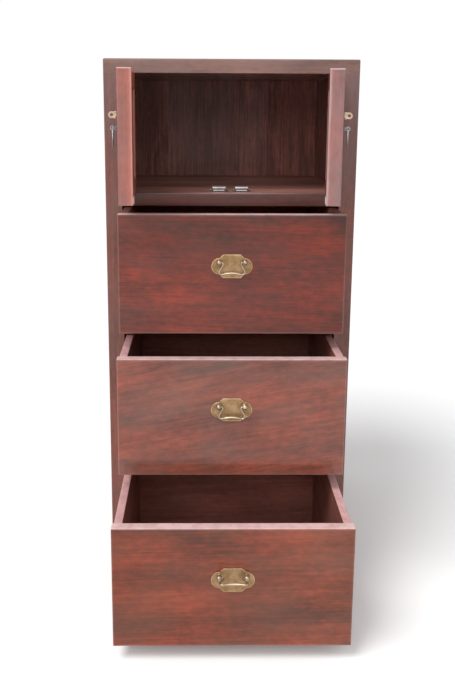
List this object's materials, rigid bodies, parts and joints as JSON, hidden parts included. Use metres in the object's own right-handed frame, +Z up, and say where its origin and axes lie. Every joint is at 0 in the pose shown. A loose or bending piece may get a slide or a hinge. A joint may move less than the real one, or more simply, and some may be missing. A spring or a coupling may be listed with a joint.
{
  "type": "campaign chest",
  "caption": "Tall narrow wooden campaign chest: a cupboard with paired panelled doors above deep sliding drawers, with brass bail handles, lock ears and small drop pulls.",
  "frame": {"origin": "middle of the chest's footprint, on the floor", "axes": "+Z up, +Y towards the back of the chest, +X towards its right-hand side seen from the front"},
  "size_m": [0.5, 0.7524, 1.085],
  "materials": {
    "cabinet_wood": "satin lacquer",
    "drawer_wood": "thin lacquer",
    "inner_wood": "matt stain",
    "brass": "aged, lightly tarnished",
    "steel": "bright zinc plate",
    "catch_plastic": "moulded",
    "magnet": "plain ferrite"
  },
  "bodies": {
    "carcase": {"top_board": "cabinet_wood", "base_board": "cabinet_wood", "side_left": "cabinet_wood", "side_right": "cabinet_wood", "stile_left": "cabinet_wood", "stile_right": "cabinet_wood", "back_panel": "inner_wood", "cupboard_floor": "cabinet_wood", "cupboard_rail": "cabinet_wood", "drawer_rail_lower": "cabinet_wood", "drawer_rail_upper": "cabinet_wood", "drawer_runners": "inner_wood", "drawer_guides": "inner_wood", "drawer_stops": "inner_wood", "hinge_frame_leaves": "brass", "hinge_pins": "brass", "catch_bodies": "catch_plastic", "catch_poles": "steel", "catch_magnets": "magnet"},
    "door_left": {"door_left_stiles": "cabinet_wood", "door_left_rails": "cabinet_wood", "door_left_panel": "cabinet_wood", "door_left_hinge_leaves": "brass", "door_left_lock_plate": "brass", "door_left_lock_ear": "brass", "door_left_pull_post": "steel", "door_left_strike_plate": "steel"},
    "pull_left": {"door_left_drop_pull": "steel"},
    "door_right": {"door_right_stiles": "cabinet_wood", "door_right_rails": "cabinet_wood", "door_right_panel": "cabinet_wood", "door_right_hinge_leaves": "brass", "door_right_lock_plate": "brass", "door_right_lock_ear": "brass", "door_right_pull_post": "steel", "door_right_strike_plate": "steel"},
    "pull_right": {"door_right_drop_pull": "steel"},
    "drawer_bottom": {"drawer_bottom_front": "cabinet_wood", "drawer_bottom_sides": "drawer_wood", "drawer_bottom_back": "drawer_wood", "drawer_bottom_bottom": "inner_wood", "drawer_bottom_handle_plate": "brass", "drawer_bottom_handle_posts": "brass"},
    "bail_bottom": {"drawer_bottom_bail": "brass"},
    "drawer_middle": {"drawer_middle_front": "cabinet_wood", "drawer_middle_sides": "drawer_wood", "drawer_middle_back": "drawer_wood", "drawer_middle_bottom": "inner_wood", "drawer_middle_handle_plate": "brass", "drawer_middle_handle_posts": "brass"},
    "bail_middle": {"drawer_middle_bail": "brass"},
    "drawer_top": {"drawer_top_front": "cabinet_wood", "drawer_top_sides": "drawer_wood", "drawer_top_back": "drawer_wood", "drawer_top_bottom": "inner_wood", "drawer_top_handle_plate": "brass", "drawer_top_handle_posts": "brass"},
    "bail_top": {"drawer_top_bail": "brass"}
  },
  "joints": [
    {"name": "door_left_hinge", "type": "hinge", "parent": "carcase", "child": "door_left", "pos_m": [-0.21625, -0.2182, 0.941], "axis": [0, 0, -1], "range_deg": [-86.5, 88.5]},
    {"name": "pull_left_pivot", "type": "hinge", "parent": "door_left", "child": "pull_left", "pos_m": [-0.20871, -0.42012, 0.9568], "axis": [-0.061, 0.9981, 0], "range_deg": [-8, 140]},
    {"name": "door_right_hinge", "type": "hinge", "parent": "carcase", "child": "door_right", "pos_m": [0.21625, -0.2182, 0.941], "axis": [0, 0, 1], "range_deg": [-81.5, 93.5]},
    {"name": "pull_right_pivot", "type": "hinge", "parent": "door_right", "child": "pull_right", "pos_m": [0.19114, -0.41869, 0.9568], "axis": [-0.1478, -0.989, 0], "range_deg": [-8, 140]},
    {"name": "drawer_bottom_slide", "type": "slide", "parent": "carcase", "child": "drawer_bottom", "axis": [0, -1, 0], "range_m": [-0.288, 0.012]},
    {"name": "bail_bottom_swing", "type": "hinge", "parent": "drawer_bottom", "child": "bail_bottom", "pos_m": [0, -0.5123, 0.173], "axis": [-1, 0, 0], "range_deg": [-109, 83]},
    {"name": "drawer_middle_slide", "type": "slide", "parent": "carcase", "child": "drawer_middle", "axis": [0, -1, 0], "range_m": [-0.155, 0.145]},
    {"name": "bail_middle_swing", "type": "hinge", "parent": "drawer_middle", "child": "bail_middle", "pos_m": [0, -0.3793, 0.439], "axis": [-1, 0, 0], "range_deg": [-12, 180]},
    {"name": "drawer_top_slide", "type": "slide", "parent": "carcase", "child": "drawer_top", "axis": [0, -1, 0], "range_m": [-0.101, 0.199]},
    {"name": "bail_top_swing", "type": "hinge", "parent": "drawer_top", "child": "bail_top", "pos_m": [0, -0.3253, 0.705], "axis": [-1, 0, 0], "range_deg": [-12, 180]}
  ]
}
